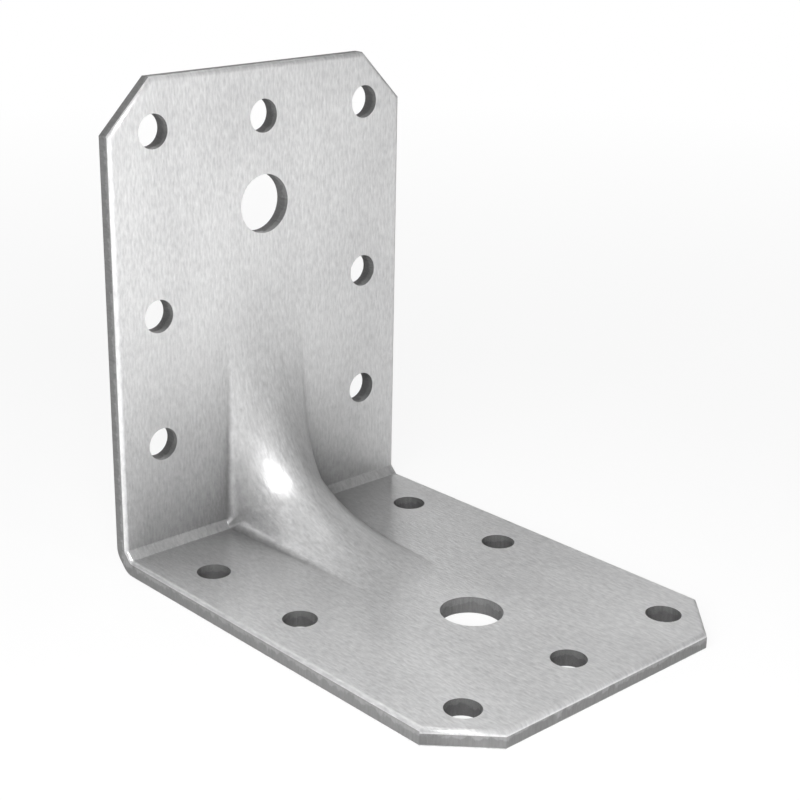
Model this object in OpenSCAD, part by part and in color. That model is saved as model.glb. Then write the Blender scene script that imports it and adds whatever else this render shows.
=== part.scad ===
// Angle connector pressed from one strip of galvanised steel: an upright leg and a
// base leg at a right angle, stiffened by a rib that is pressed through the bend.
// +Z is up, X runs across the strip, and the base leg runs towards -Y.
// The back of the upright lies on y = 0 and the underside of the base on z = 0.

/* [Sheet] */
// Width of the strip
strip_w = 65.5; // [64:0.5:90]
// Height of the upright leg above the underside of the base
upright_h = 88; // [84:0.5:130]
// Length of the base leg from the back of the upright
base_l = 88; // [84:0.5:130]
// Thickness of the sheet
sheet_t = 3; // [2:0.1:4]
// Length that the cut across each free corner takes off the two edges
corner_cut = 9; // [4:0.5:10]
// Rounding of the edges around the inner faces
inner_edge_r = 0.9; // [0.4:0.1:1.2]
// Rounding of the edges around the outer faces
outer_edge_r = 0.4; // [0.2:0.1:0.6]

/* [Bend] */
// How far the narrow flat inside the bend reaches up each leg
bend_flat = 1.4; // [1:0.1:3]
// Radius of the crease on each side of that flat
crease_r = 0.4; // [0.3:0.1:0.8]

/* [Small holes] */
// Diameter of the small holes
small_d = 6; // [4:0.1:6.5]
// Distance between the left and the right column of small holes
column_pitch = 47.5; // [40:0.5:48]
// Distance from each free end to its row of three
end_inset = 9; // [8:0.5:12]
// Distance between the two rows of two on each leg
row_pitch = 23.75; // [16:0.25:26]
// Height of the lower row of two above the underside
upright_row = 23; // [16:0.25:26]
// Distance of the inner row of two from the back of the upright
base_row = 17.25; // [14:0.25:20]

/* [Bolt holes] */
// Diameter of the bolt hole in each leg
bolt_d = 10.7; // [8:0.1:14]
// Distance from the upright's free end to its bolt hole
upright_bolt = 24.75; // [22:0.25:32]
// Distance from the base's free end to its bolt hole
base_bolt = 30.5; // [22:0.25:32]

/* [Rib] */
// Width of the rib where it crosses the bend
rib_w = 20.7; // [16:0.1:26]
// Width that the rib loses towards each end
rib_taper = 2.4; // [0:0.1:4]
// How far the rib reaches along each leg, which also sets how high its crest stands
rib_reach = 43; // [34:0.5:48]
// Roundness of the crest above the bend, where a low number makes it sharper
crest_round = 0.25; // [0.1:0.05:1.5]
// Roundness of the crest towards each end
end_round = 1.1; // [0.2:0.05:1.5]
// Exponent of the rib's section, where a low number makes its sides fuller
side_fullness = 0.7; // [0.5:0.05:1.2]
// Width of wall that stands beside the hollow under the rib on each side
rib_wall = 1.6; // [1.2:0.1:2.2]

/* [Hidden] */

$fn = 96;

// Steps across the rib, and along each of its halves
columns = 26;
rows = 18;
// Depth by which the rib's lower edges dip below the sheet's faces
dip = 0.05;
// Depth of the rib's root inside the sheet
root = sheet_t / 3;
// Length by which a cutter passes the sheet
past = 1;
// Length by which the core of the flat inside the bend reaches into the creases beside it
core_reach = 0.5;
last = 2 * rows;

// Place along each leg where the bend ends, and length of the flat inside the bend
crease_run = crease_r * tan(22.5);
bend_end = sheet_t + bend_flat + crease_run;
flat_len = bend_flat * sqrt(2) - 2 * crease_run;

// Rise of the crest above one leg, at the distance h from the other leg. The crest is the
// parabola that touches both legs at the distance r from the corner between them.
function crest_rise(h, r) = pow(sqrt(r) - sqrt(h), 2);

// Share of the crest's rise at the place u across the rib, whose feet are at -1 and 1
function dome(u, e) = pow((sqrt(1 + e * e) - sqrt(u * u + e * e)) / (sqrt(1 + e * e) - e), side_fullness);

// Distance from both legs at which the halves of the rib meet where the share is g
function fold(g, r) = r * g / pow(1 + sqrt(g), 2);

// Place of a row along its half of the rib, from 0 at the fold to 1 at the end
function along(row) = 1 - sin(45 * (1 - abs(row - rows) / rows)) / sin(45);

// Half of the rib's width at the place s along its half
function half_w(s) = rib_w / 2 - rib_taper / 2 * (1 - pow(1 - s, 2.5));

// Distance from the other leg, then rise above its own leg, at the place u across and s along
function rib_run(u, s, r) = fold(dome(u, crest_round), r) * (1 - s) + r * s;
function rib_rise(u, s, r) =
    dome(u, crest_round + (end_round - crest_round) * s) * crest_rise(rib_run(u, s, r), r);

// Point of the rib's skin, over faces that lie at the depth `face` inside the outer ones
function skin(u, row, r, face, wall) =
    let (s = along(row), x = u * (half_w(s) - wall))
    let (run = face + rib_run(u, s, r), rise = face + rib_rise(u, s, r))
    row < rows ? [x, -rise, run] : [x, -run, rise];

// Number of the skin's point in a column and a row
function nr(column, row) = row * (columns + 1) + column;

// Section across a strip of the given width, with its outer face on the X axis
module sheet_section(width) {
    difference() {
        translate([-width / 2, -sheet_t]) square([width, sheet_t]);
        for (side = [0, 1]) mirror([side, 0]) {
            translate([width / 2, 0]) corner_rest(outer_edge_r);
            translate([width / 2, -sheet_t]) mirror([0, 1]) corner_rest(inner_edge_r);
        }
    }
}

// What a rounding takes off a corner at the origin that points to +X and +Y
module corner_rest(r) {
    translate([-r, -r]) difference() {
        square(r + past);
        circle(r);
    }
}

// Flat part of a leg that stands along Z, with its free corners cut
module leg(length) {
    cut_at = (strip_w / 2 + length - corner_cut) / sqrt(2);
    intersection() {
        translate([0, 0, bend_end]) linear_extrude(length) sheet_section(strip_w);
        rotate([0, 90, 0]) linear_extrude(strip_w + 2, center = true) sheet_section(2 * length);
        rotate([0, 45, 0]) linear_extrude(3 * length, center = true) sheet_section(2 * cut_at);
        rotate([0, -45, 0]) linear_extrude(3 * length, center = true) sheet_section(2 * cut_at);
    }
}

// Crease between the upright and the flat inside the bend
module crease() {
    translate([0, -sheet_t - crease_r, bend_end]) rotate([-90, 0, 90])
        rotate_extrude(angle = 45) translate([sheet_t + crease_r, 0]) rotate(-90) sheet_section(strip_w);
}

// Flat across the inside of the bend, and the core that ties it to both creases
module bend_middle() {
    rotate([-45, 0, 0]) translate([0, sheet_t - (2 * sheet_t + bend_flat) / sqrt(2), 0]) {
        linear_extrude(flat_len, center = true) sheet_section(strip_w);
        translate([0, -sheet_t / 2, 0])
            cube([strip_w - sheet_t, sheet_t / 3, flat_len + 2 * core_reach], center = true);
    }
}

// What is drawn for the upright, laid over onto the base
module on_base() {
    mirror([0, 0, 1]) rotate([90, 0, 0]) children();
}

// The folded sheet before the rib is pressed and the holes are punched
module folded_sheet() {
    leg(upright_h);
    crease();
    bend_middle();
    on_base() crease();
    on_base() leg(base_l);
}

// Body under the skin of a rib that reaches r along each leg, closed at the depth `back` behind its faces
module rib_body(r, face, wall, back) {
    end_at = face + r;
    back_y = back - face;
    foot = half_w(0) - wall;
    tip = half_w(1) - wall;
    points = [
        for (row = [0:last], column = [0:columns]) skin(2 * column / columns - 1, row, r, face, wall),
        [-tip, back_y, end_at],
        [tip, back_y, end_at],
        [-foot, back_y, -back_y],
        [foot, back_y, -back_y],
        [-tip, -end_at, -back_y],
        [tip, -end_at, -back_y]
    ];
    b = nr(0, last + 1);
    faces = [
        for (row = [0:last - 1], column = [0:columns - 1]) each quad(column, row),
        for (row = [0:last - 1]) each [
            [nr(0, row), nr(0, row + 1), b + 2],
            [nr(columns, row + 1), nr(columns, row), b + 3]
        ],
        for (column = [0:columns - 1]) each [
            [b, nr(column + 1, 0), nr(column, 0)],
            [b + 4, nr(column, last), nr(column + 1, last)]
        ],
        [b, b + 1, nr(columns, 0)],
        [b + 4, nr(columns, last), b + 5],
        [nr(0, 0), b + 2, b],
        [b + 1, b + 3, nr(columns, 0)],
        [nr(0, last), b + 4, b + 2],
        [b + 3, b + 5, nr(columns, last)],
        [b + 1, b, b + 2, b + 3],
        [b + 2, b + 4, b + 5, b + 3]
    ];
    polyhedron(points, faces);
}

// Two facets of the skin, split so that the left and the right half mirror each other
function quad(column, row) =
    let (a = nr(column, row), b = a + 1, c = nr(column + 1, row + 1), d = c - 1)
    column < columns / 2 ? [[a, b, c], [a, c, d]] : [[a, b, d], [b, c, d]];

// One bore through the upright at the place (x, z)
module bore(x, z, d) {
    translate([x, past, z]) rotate([90, 0, 0]) cylinder(h = sheet_t + 2 * past, d = d);
}

// All the bores of a leg that stands along Z
module leg_bores(length, bolt_at, row_at) {
    for (x = [-1, 0, 1]) bore(x * column_pitch / 2, length - end_inset, small_d);
    for (x = [-1, 1], row = [0, 1]) bore(x * column_pitch / 2, row_at + row * row_pitch, small_d);
    bore(0, length - bolt_at, bolt_d);
}

// The whole bracket
module bracket() {
    color([0.72, 0.73, 0.74]) difference() {
        union() {
            folded_sheet();
            rib_body(rib_reach, sheet_t - dip, 0, root);
        }
        rib_body(rib_reach + sheet_t, -dip, rib_wall, past);
        leg_bores(upright_h, upright_bolt, upright_row);
        on_base() leg_bores(base_l, base_bolt, base_row);
    }
}

bracket();
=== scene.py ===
"""Reinforced angle bracket of galvanised sheet steel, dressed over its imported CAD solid."""

import logging
import math
from dataclasses import dataclass, field
from enum import Enum

import bmesh
import bpy
import numpy as np
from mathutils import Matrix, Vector


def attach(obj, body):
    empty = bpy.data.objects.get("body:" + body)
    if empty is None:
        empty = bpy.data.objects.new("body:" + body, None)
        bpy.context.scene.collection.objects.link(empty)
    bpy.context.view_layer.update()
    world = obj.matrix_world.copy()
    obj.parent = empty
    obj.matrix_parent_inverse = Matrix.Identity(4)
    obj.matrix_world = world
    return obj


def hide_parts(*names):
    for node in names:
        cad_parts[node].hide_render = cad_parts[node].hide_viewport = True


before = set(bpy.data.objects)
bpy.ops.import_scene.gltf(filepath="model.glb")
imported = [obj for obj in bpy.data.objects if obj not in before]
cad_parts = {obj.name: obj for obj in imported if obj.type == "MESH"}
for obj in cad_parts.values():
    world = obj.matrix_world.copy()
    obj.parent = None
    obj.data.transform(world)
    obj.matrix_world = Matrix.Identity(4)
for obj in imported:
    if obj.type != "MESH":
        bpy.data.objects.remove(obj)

log = logging.getLogger("bracket")

MM = 0.001
PICTURE_PX = 800.0
SENSOR_MM = 36.0

# Values that most of a noise lies between
NOISE_LOW, NOISE_HIGH = 0.3, 0.7

Colour = tuple[float, float, float, float]
Point = tuple[float, float, float]

WHITE: Colour = (1.0, 1.0, 1.0, 1.0)


class Grain(Enum):
    """How many cells a pattern has per metre along X, Y and Z."""

    ROLLED = (2300.0, 620.0, 620.0)
    CLOUD = (60.0, 34.0, 34.0)
    SPECK = (900.0, 900.0, 900.0)
    DRAGGED = (2600.0, 2600.0, 350.0)
    RAGGED = (700.0, 700.0, 700.0)


class Lead(Enum):
    """How much a face says where the normals at a shared vertex are averaged."""

    STRONG = 16384
    MEDIUM = 0
    WEAK = -16384


class Nodes:
    """Adds nodes to a tree and links them in one step."""

    def __init__(self, tree: bpy.types.NodeTree) -> None:
        """Keeps the tree.

        Args:
            tree: The node tree that gets the nodes.
        """
        self.tree = tree

    def add(self, kind: str, **inputs: object) -> bpy.types.Node:
        """Adds one node and fills its inputs.

        Args:
            kind: The node's type, without the words ShaderNode in front.
            **inputs: Values or sockets by input name, with _ for a space and the number of an input as _0.

        Returns:
            The node.
        """
        node = self.tree.nodes.new("ShaderNode" + kind)
        for name, value in inputs.items():
            self.fill(node, name, value)
        return node

    def use(self, effect: bpy.types.NodeTree, **inputs: object) -> bpy.types.Node:
        """Places a node group and fills its inputs.

        Args:
            effect: The node group.
            **inputs: Values or sockets by the names of the group's inputs.

        Returns:
            The node that holds the group.
        """
        node = self.add("Group")
        node.node_tree = effect
        for name, value in inputs.items():
            self.fill(node, name, value)
        return node

    def fill(self, node: bpy.types.Node, name: str, value: object) -> None:
        """Sets or links one input of a node.

        Args:
            node: The node.
            name: The input's name, with _ for a space, or its number as _0.
            value: A plain value, or the socket that feeds the input.
        """
        spot = node.inputs[int(name[1:]) if name[1:].isdigit() else name.replace("_", " ")]
        if isinstance(value, bpy.types.NodeSocket):
            self.tree.links.new(value, spot)
        else:
            spot.default_value = value

    def math(self, operation: str, first: object, second: object) -> bpy.types.NodeSocket:
        """Adds a sum of two values.

        Args:
            operation: Blender's name of the sum.
            first: The first value or socket.
            second: The second value or socket.

        Returns:
            The socket of the result.
        """
        node = self.add("Math", _0=first, _1=second)
        node.operation = operation
        return node.outputs[0]

    def blend(self, share: object, first: object, second: object) -> bpy.types.NodeSocket:
        """Adds a blend of two values.

        Args:
            share: How much of the second value is taken.
            first: The value or socket that is taken at share 0.
            second: The value or socket that is taken at share 1.

        Returns:
            The socket of the blended value.
        """
        return self.add("Mix", _0=share, _2=first, _3=second).outputs[0]

    def tint(self, share: object, first: object, second: object, how: str = "MIX") -> bpy.types.NodeSocket:
        """Adds a blend of two colours.

        Args:
            share: How much of the second colour is taken.
            first: The colour or socket that is taken at share 0.
            second: The colour or socket that is taken at share 1.
            how: Blender's name of the way of blending.

        Returns:
            The socket of the blended colour.
        """
        node = self.add("Mix")
        node.data_type = "RGBA"
        node.blend_type = how
        self.fill(node, "_0", share)
        self.fill(node, "_6", first)
        self.fill(node, "_7", second)
        return node.outputs[2]

    def noise(self, place: bpy.types.NodeSocket, grain: Grain) -> bpy.types.NodeSocket:
        """Adds a noise with the cells of one grain.

        Args:
            place: The socket of the coordinates.
            grain: The grain.

        Returns:
            The socket of the noise, from 0 to 1.
        """
        cells = self.add("Mapping", Vector=place, Scale=grain.value)
        return self.add("TexNoise", Vector=cells.outputs[0], Scale=1.0, Detail=3.0, Roughness=0.55).outputs["Fac"]

    def span(
        self, value: object, low: object, high: object, to_low: object = 0.0, to_high: object = 1.0
    ) -> bpy.types.NodeSocket:
        """Adds a clamped map from one span of values to another.

        Args:
            value: The value or socket.
            low: The value that becomes to_low.
            high: The value that becomes to_high.
            to_low: The low end of the result.
            to_high: The high end of the result.

        Returns:
            The socket of the result.
        """
        node = self.add("MapRange", Value=value, From_Min=low, From_Max=high, To_Min=to_low, To_Max=to_high)
        return node.outputs[0]


def group(
    name: str, outputs: tuple[str, ...], inputs: tuple[str, ...] = ()
) -> tuple[Nodes, bpy.types.Node, bpy.types.Node]:
    """Makes an empty shader node group.

    Args:
        name: The group's name.
        outputs: The names of its outputs, which are all values.
        inputs: The names of its inputs, which are all values.

    Returns:
        The group's nodes, its input node and its output node.
    """
    tree = bpy.data.node_groups.new(name, "ShaderNodeTree")
    for spot in inputs:
        tree.interface.new_socket(spot, in_out="INPUT", socket_type="NodeSocketFloat")
    for spot in outputs:
        tree.interface.new_socket(spot, in_out="OUTPUT", socket_type="NodeSocketFloat")
    return Nodes(tree), tree.nodes.new("NodeGroupInput"), tree.nodes.new("NodeGroupOutput")


def painted_shade() -> bpy.types.NodeTree:
    """Makes the group that paints shade into the colour of sheltered places: ambient occlusion darkens corners,
    creases and recesses.

    Returns:
        The node group. Its inputs are Reach, how far in metres a neighbouring face still casts painted shade, and
        Deepest, the brightness of the most shaded place. Its output Tone has 1 on an open face.
    """
    nodes, given, out = group("painted_shade", ("Tone",), ("Reach", "Deepest"))
    # painted shade: ambient occlusion measures how shut in a place is, and the colour is darkened there
    occlusion_shade = nodes.add("AmbientOcclusion", Distance=given.outputs["Reach"])
    occlusion_shade.samples = 4
    occlusion_shade.only_local = True
    deepest_at = 0.4
    nodes.fill(out, "Tone", nodes.span(occlusion_shade.outputs["AO"], deepest_at, 1.0, given.outputs["Deepest"], 1.0))
    return nodes.tree


def material(name: str) -> tuple[bpy.types.Material, Nodes, bpy.types.Node]:
    """Makes a material with one Principled shader.

    Args:
        name: The material's name.

    Returns:
        The material, its nodes and the shader.
    """
    made = bpy.data.materials.new(name)
    made.use_nodes = True
    return made, Nodes(made.node_tree), made.node_tree.nodes["Principled BSDF"]


@dataclass(frozen=True)
class ZincFinish:
    """Satin zinc coating on sheet that was rolled along the strip."""

    dark: Colour = (0.55, 0.55, 0.555, 1.0)
    light: Colour = (0.9, 0.9, 0.9, 1.0)
    speck_share: float = 0.25
    cloud_share: float = 0.3
    metallic: float = 0.5
    roughness: tuple[float, float] = (0.28, 0.44)
    relief: float = 0.03 * MM
    # painted shade from ambient occlusion: how far it reaches and how dark the most shut-in place gets
    shade_reach: float = 60.0 * MM
    shade_darkest: float = 0.3

    def build(self, occlusion_shade: bpy.types.NodeTree) -> bpy.types.Material:
        """Makes the material of the coated faces.

        Args:
            occlusion_shade: The group that paints shade into corners, creases and recesses.

        Returns:
            The material.
        """
        made, nodes, bsdf = material("zinc_coating")
        pattern = nodes.use(self._pattern())
        shade_node = nodes.use(occlusion_shade, Reach=self.shade_reach, Deepest=self.shade_darkest)
        colour = nodes.tint(pattern.outputs["Tone"], self.dark, self.light)
        # painted shade: the base colour is multiplied by the ambient-occlusion darkening
        nodes.fill(bsdf, "Base_Color", nodes.tint(1.0, colour, shade_node.outputs["Tone"], "MULTIPLY"))
        nodes.fill(bsdf, "Metallic", self.metallic)
        nodes.fill(bsdf, "Roughness", nodes.span(pattern.outputs["Grain"], 0.0, 1.0, *self.roughness))
        bump = nodes.add("Bump", Distance=self.relief, Height=pattern.outputs["Grain"])
        nodes.fill(bsdf, "Normal", bump.outputs[0])
        return made

    def _pattern(self) -> bpy.types.NodeTree:
        """Makes the group with the look of rolled, zinc-coated sheet.

        Returns:
            The node group, with the outputs Tone for the colour and Grain for the relief and the gloss.
        """
        nodes, _, out = group("zinc_pattern", ("Tone", "Grain"))
        place = nodes.add("TexCoord").outputs["Object"]
        fine = nodes.blend(self.speck_share, nodes.noise(place, Grain.ROLLED), nodes.noise(place, Grain.SPECK))
        tone = nodes.blend(self.cloud_share, fine, nodes.noise(place, Grain.CLOUD))
        nodes.fill(out, "Tone", nodes.span(tone, NOISE_LOW, NOISE_HIGH))
        nodes.fill(out, "Grain", nodes.span(fine, NOISE_LOW, NOISE_HIGH))
        return nodes.tree


@dataclass(frozen=True)
class ShearedFinish:
    """Bare steel of the cut edges and of the walls of the punched holes."""

    smooth: Colour = (0.29, 0.29, 0.29, 1.0)
    torn: Colour = (0.23, 0.23, 0.23, 1.0)
    marks: Colour = (0.82, 0.82, 0.82, 1.0)
    smooth_from: float = 0.68
    torn_to: float = 0.56
    metallic: float = 0.4
    roughness: tuple[float, float] = (0.38, 0.62)
    relief: float = 0.05 * MM
    # painted shade from ambient occlusion: how far it reaches and how dark the most shut-in place gets
    shade_reach: float = 60.0 * MM
    shade_darkest: float = 0.3

    def build(self, occlusion_shade: bpy.types.NodeTree, sheet_t: float) -> bpy.types.Material:
        """Makes the material of the cut faces.

        Args:
            occlusion_shade: The group that paints shade into corners, creases and recesses.
            sheet_t: Thickness of the sheet, in metres.

        Returns:
            The material.
        """
        made, nodes, bsdf = material("sheared_steel")
        torn, grain = nodes.use(self._pattern(sheet_t)).outputs
        shade_node = nodes.use(occlusion_shade, Reach=self.shade_reach, Deepest=self.shade_darkest)
        marked = nodes.tint(grain, self.marks, WHITE)
        colour = nodes.tint(1.0, nodes.tint(torn, self.smooth, self.torn), marked, "MULTIPLY")
        # painted shade: the base colour is multiplied by the ambient-occlusion darkening
        nodes.fill(bsdf, "Base_Color", nodes.tint(1.0, colour, shade_node.outputs["Tone"], "MULTIPLY"))
        nodes.fill(bsdf, "Metallic", self.metallic)
        nodes.fill(bsdf, "Roughness", nodes.span(torn, 0.0, 1.0, *self.roughness))
        bump = nodes.add("Bump", Distance=self.relief, Height=grain)
        nodes.fill(bsdf, "Normal", bump.outputs[0])
        return made

    def _pattern(self, sheet_t: float) -> bpy.types.NodeTree:
        """Makes the group with the look of a sheared or punched edge.

        The depth is the distance from the outer face, which is -y on the upright and z on the base. The punch
        leaves drag marks across the thickness, smooth near the inner face and torn beyond it. The line between
        the two is ragged by up to half the thickness either way.

        Args:
            sheet_t: Thickness of the sheet, in metres.

        Returns:
            The node group, with the outputs Torn for the torn part and Grain for the drag marks.
        """
        nodes, _, out = group("shear_pattern", ("Torn", "Grain"))
        place = nodes.add("TexCoord").outputs["Object"]
        x, y, z = nodes.add("SeparateXYZ", Vector=place).outputs
        on_upright = nodes.math("GREATER_THAN", nodes.math("ADD", y, z), 0.0)
        depth = nodes.blend(on_upright, z, nodes.math("MULTIPLY", y, -1.0))
        reach = nodes.blend(on_upright, y, z)
        along = nodes.add("CombineXYZ", X=x, Y=reach, Z=depth).outputs[0]
        ragged = nodes.math("MULTIPLY", nodes.math("SUBTRACT", nodes.noise(place, Grain.RAGGED), 0.5), sheet_t)
        edge = nodes.math("ADD", depth, ragged)
        nodes.fill(out, "Torn", nodes.span(edge, self.smooth_from * sheet_t, self.torn_to * sheet_t))
        nodes.fill(out, "Grain", nodes.span(nodes.noise(along, Grain.DRAGGED), NOISE_LOW, NOISE_HIGH))
        return nodes.tree


@dataclass
class Sheet:
    """The folded sheet with its rib, taken from the CAD solid and given smooth shading.

    The bend ends at bend_reach along each leg. The rib lies within rib_side of mid-width and ends at rib_end
    along each leg, and the strip's own sides lie beyond side_from. The three leans say how much of a normal's
    length may, or must, lie across the sheet or the strip.
    """

    zinc: ZincFinish = field(default_factory=ZincFinish)
    sheared: ShearedFinish = field(default_factory=ShearedFinish)
    sheet_t: float = 3.0 * MM
    bend_reach: float = 5.0 * MM
    side_from: float = 30.0 * MM
    rib_side: float = 12.0 * MM
    rib_end: float = 47.0 * MM
    slack: float = 0.2 * MM
    merge_within: float = 0.002 * MM
    in_plane_within: float = 0.02 * MM
    cut_lean: float = 0.2
    side_lean: float = 0.9
    flat_lean: float = 0.99999
    smooth_deg: float = 24.0

    def build(self) -> bpy.types.Object:
        """Copies the CAD mesh, merges its loose triangles, shades it and gives it both finishes.

        Returns:
            The object that stands for the CAD node.
        """
        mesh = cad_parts["bracket"].data.copy()
        mesh.name = "folded_sheet"
        piece = bpy.data.objects.new("folded_sheet", mesh)
        bpy.context.scene.collection.objects.link(piece)
        bm = bmesh.new()
        bm.from_mesh(mesh)
        bmesh.ops.remove_doubles(bm, verts=bm.verts, dist=self.merge_within)
        bm.to_mesh(mesh)
        bm.free()
        # painted shade for corners and recesses, from ambient occlusion, used by both finishes
        occlusion_shade = painted_shade()
        mesh.materials.clear()
        mesh.materials.append(self.zinc.build(occlusion_shade))
        mesh.materials.append(self.sheared.build(occlusion_shade, self.sheet_t))
        self._mark_cut_faces(mesh)
        mesh.shade_smooth()
        mesh.set_sharp_from_angle(angle=math.radians(self.smooth_deg))
        self._weigh_faces(mesh)
        weighted = piece.modifiers.new("weighted", "WEIGHTED_NORMAL")
        weighted.keep_sharp = True
        weighted.use_face_influence = True
        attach(piece, "root")
        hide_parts("bracket")
        return piece

    def _mark_cut_faces(self, mesh: bpy.types.Mesh) -> None:
        """Gives the sheared finish to the faces that stand square to the sheet.

        A face is cut where little of its normal lies across the sheet, which is along y on the upright and
        along z on the base. Beside the bend only the strip's own sides are cut, and the steep walls of the
        hollow under the rib are pressed, not cut.

        Args:
            mesh: The merged mesh of the sheet.
        """
        normals, (x, y, z) = self._faces(mesh)
        inside = self.sheet_t + self.slack
        upright = (z > self.bend_reach) & (y > -inside) & (normals[:, 1] < self.cut_lean)
        base = (y < -self.bend_reach) & (z < inside) & (normals[:, 2] < self.cut_lean)
        side = (normals[:, 0] > self.side_lean) & (np.abs(x) > self.side_from)
        cut = (upright | base | side) & ~self._in_rib(x, y, z)
        mesh.polygons.foreach_set("material_index", cut.astype(np.int32))

    def _weigh_faces(self, mesh: bpy.types.Mesh) -> None:
        """Says which faces lead where normals are averaged, and keeps the rib's foot smooth.

        The flat faces of the sheet, whose normals lie along one axis, lead and stay flat. The narrow faces
        along the rib's foot follow their neighbours, because pressed sheet turns there in a small radius. A
        vertex is at the foot where it lies in the plane of an inner face, beside the rib and short of the
        bolt hole, and an edge with both ends there is never sharp.

        Args:
            mesh: The merged mesh of the sheet, with its sharp edges marked.
        """
        spots = np.empty(len(mesh.vertices) * 3)
        mesh.vertices.foreach_get("co", spots)
        x, y, z = spots.reshape(-1, 3).T
        near = self.in_plane_within
        in_face = (np.abs(y + self.sheet_t) < near) | (np.abs(z - self.sheet_t) < near)
        foot = in_face & self._in_rib(x, y, z)
        corners = np.empty(len(mesh.loops), dtype=np.int32)
        starts = np.empty(len(mesh.polygons), dtype=np.int32)
        mesh.loops.foreach_get("vertex_index", corners)
        mesh.polygons.foreach_get("loop_start", starts)
        touches = np.logical_or.reduceat(foot[corners], starts)
        normals, _ = self._faces(mesh)
        flat = np.max(normals[:, 1:], axis=1) > self.flat_lean
        leads = np.where(flat, Lead.STRONG.value, np.where(touches, Lead.WEAK.value, Lead.MEDIUM.value))
        strength = mesh.attributes.new("__mod_weightednormals_faceweight", "INT", "FACE")
        strength.data.foreach_set("value", leads.astype(np.int32))
        ends = np.empty(len(mesh.edges) * 2, dtype=np.int32)
        sharp = np.empty(len(mesh.edges), dtype=bool)
        mesh.edges.foreach_get("vertices", ends)
        mesh.edges.foreach_get("use_edge_sharp", sharp)
        mesh.edges.foreach_set("use_edge_sharp", sharp & ~foot[ends.reshape(-1, 2)].all(axis=1))

    def _in_rib(self, x: np.ndarray, y: np.ndarray, z: np.ndarray) -> np.ndarray:
        """Tells which places lie in the box around the rib, which holds none of the holes.

        Args:
            x: The places across the strip.
            y: The places along the base.
            z: The heights.

        Returns:
            One truth value for each place.
        """
        return (np.abs(x) < self.rib_side) & (y > -self.rib_end) & (z < self.rib_end)

    @staticmethod
    def _faces(mesh: bpy.types.Mesh) -> tuple[np.ndarray, np.ndarray]:
        """Reads the faces of a mesh.

        Args:
            mesh: The mesh.

        Returns:
            The normals with all parts made positive, and the centres as three rows.
        """
        normals = np.empty(len(mesh.polygons) * 3)
        centres = np.empty(len(mesh.polygons) * 3)
        mesh.polygons.foreach_get("normal", normals)
        mesh.polygons.foreach_get("center", centres)
        return np.abs(normals.reshape(-1, 3)), centres.reshape(-1, 3).T


@dataclass(frozen=True)
class Lamp:
    """One soft, square area lamp. One that isn't mirrored lights the bracket without a glint in its gloss."""

    name: str
    place: Point
    size: float
    watts: float
    mirrored: bool = True

    def build(self, target: Point) -> bpy.types.Object:
        """Makes the lamp.

        Args:
            target: The point that the lamp faces, in metres.

        Returns:
            The lamp object.
        """
        data = bpy.data.lights.new(self.name, "AREA")
        data.size = self.size
        data.energy = self.watts
        lamp = bpy.data.objects.new(self.name, data)
        lamp.location = self.place
        lamp.visible_glossy = self.mirrored
        lamp.rotation_euler = (Vector(target) - Vector(self.place)).to_track_quat("-Z", "Y").to_euler()
        bpy.context.scene.collection.objects.link(lamp)
        return lamp


@dataclass
class Floor:
    """Plain white floor, which keeps the bracket's shadow near it and is pure white farther off.

    It lies a hair below the underside, so that the two planes never share a place, and from below it is clear.
    The camera sees glow_near of white up to the distance near from the origin, and all of it beyond far.
    """

    half: float = 3.0
    height: float = -0.05 * MM
    colour: Colour = (0.9, 0.9, 0.9, 1.0)
    roughness: float = 0.9
    glow_near: float = 0.89
    near: float = 0.12
    far: float = 0.5
    mirrored_glow: float = 0.3

    def build(self) -> bpy.types.Object:
        """Makes the floor under the bracket.

        Returns:
            The floor object, marked as stage.
        """
        half, z = self.half, self.height
        mesh = bpy.data.meshes.new("floor")
        mesh.from_pydata([(-half, -half, z), (half, -half, z), (half, half, z), (-half, half, z)], [], [(0, 1, 2, 3)])
        floor = bpy.data.objects.new("floor", mesh)
        bpy.context.scene.collection.objects.link(floor)
        mesh.materials.append(self._white())
        return floor

    def _white(self) -> bpy.types.Material:
        """Makes the floor's material, which glows for the camera and more weakly for reflections.

        Returns:
            The material.
        """
        made, nodes, bsdf = material("floor_white")
        nodes.fill(bsdf, "Base_Color", self.colour)
        nodes.fill(bsdf, "Roughness", self.roughness)
        nodes.fill(bsdf, "Specular_IOR_Level", 0.0)
        length = nodes.add("VectorMath", _0=nodes.add("TexCoord").outputs["Object"])
        length.operation = "LENGTH"
        seen = nodes.span(length.outputs["Value"], self.near, self.far, self.glow_near, 1.0)
        path = nodes.add("LightPath").outputs
        mirrored = nodes.math("MULTIPLY", path["Is Glossy Ray"], self.mirrored_glow)
        share = nodes.blend(path["Is Camera Ray"], mirrored, seen)
        glow = nodes.add("Emission")
        white = nodes.add("MixShader", _0=share, _1=bsdf.outputs[0], _2=glow.outputs[0])
        below = nodes.add("NewGeometry").outputs["Backfacing"]
        clear = nodes.add("BsdfTransparent")
        mix = nodes.add("MixShader", _0=below, _1=white.outputs[0], _2=clear.outputs[0])
        nodes.fill(nodes.tree.nodes["Material Output"], "Surface", mix.outputs[0])
        return made


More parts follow.
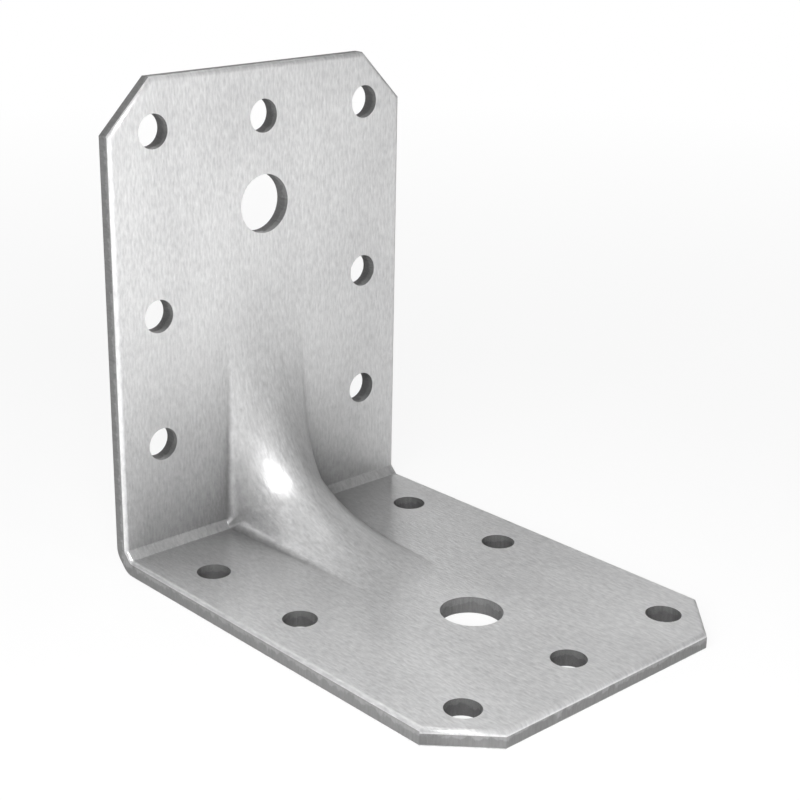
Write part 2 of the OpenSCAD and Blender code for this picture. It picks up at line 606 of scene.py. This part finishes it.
@dataclass
class Studio:
    """Soft lamps around the bracket and a plain grey world."""

    world_grey: float = 0.03
    target: Point = (0.0, -0.04, 0.03)
    lamps: tuple[Lamp, ...] = (
        Lamp("key", (-0.12, -0.12, 0.15), 0.08, 0.262),
        Lamp("left_fill", (-0.3, -0.5, 0.15), 0.2, 1.06, False),
        Lamp("front_fill", (0.0, -0.2, 0.12), 0.06, 0.105, False),
        Lamp("side_fill", (-0.5, -0.15, 0.2), 0.2, 1.33, False),
        Lamp("top", (0.05, 0.07, 0.62), 0.3, 0.261),
        Lamp("right", (0.62, 0.25, 0.25), 0.3, 0.155),
        Lamp("back_right", (0.35, 0.6, 0.25), 0.4, 0.906),
        Lamp("back_top", (0.1, 0.5, 0.6), 0.4, 0.451),
    )

    def build(self) -> None:
        """Makes the lamps and the world, which is white where the camera sees it."""
        for lamp in self.lamps:
            lamp.build(self.target)
        world = bpy.data.worlds.new("studio")
        bpy.context.scene.world = world
        world.use_nodes = True
        nodes = Nodes(world.node_tree)
        background = world.node_tree.nodes["Background"]
        path = nodes.add("LightPath").outputs
        nodes.fill(background, "Color", WHITE)
        nodes.fill(background, "Strength", nodes.blend(path["Is Camera Ray"], self.world_grey, 1.0))


@dataclass
class PhotoCamera:
    """The camera at the photograph's place, with its off-centre crop as shift."""

    place: Point = (-0.179155, -0.227457, 0.128194)
    sight: Point = (0.60955, 0.71630, -0.33974)
    focal_px: float = 1628.0
    shift: tuple[float, float] = (0.1062, 0.0085)
    clip_start: float = 0.01

    def build(self) -> bpy.types.Object:
        """Makes the camera and gives it to the scene.

        Returns:
            The camera object.
        """
        data = bpy.data.cameras.new("photo_camera")
        data.sensor_width = SENSOR_MM
        data.lens = SENSOR_MM * self.focal_px / PICTURE_PX
        data.shift_x, data.shift_y = self.shift
        data.clip_start = self.clip_start
        camera = bpy.data.objects.new("photo_camera", data)
        camera.location = self.place
        camera.rotation_euler = Vector(self.sight).to_track_quat("-Z", "Y").to_euler()
        bpy.context.scene.collection.objects.link(camera)
        bpy.context.scene.camera = camera
        return camera


def main() -> None:
    """Builds the camera, the bracket, the floor and the lights, and reports each."""
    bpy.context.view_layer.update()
    bpy.context.scene.view_settings.view_transform = "Standard"
    camera = PhotoCamera().build()
    log.info("%s: %.0f mm lens", camera.name, camera.data.lens)
    sheet = Sheet().build()
    log.info("%s: %d faces", sheet.name, len(sheet.data.polygons))
    floor = Floor().build()
    log.info("%s: %.1f m wide", floor.name, floor.dimensions.x)
    studio = Studio()
    studio.build()
    log.info("studio: %d lamps", len(studio.lamps))


if __name__ == "__main__":
    main()
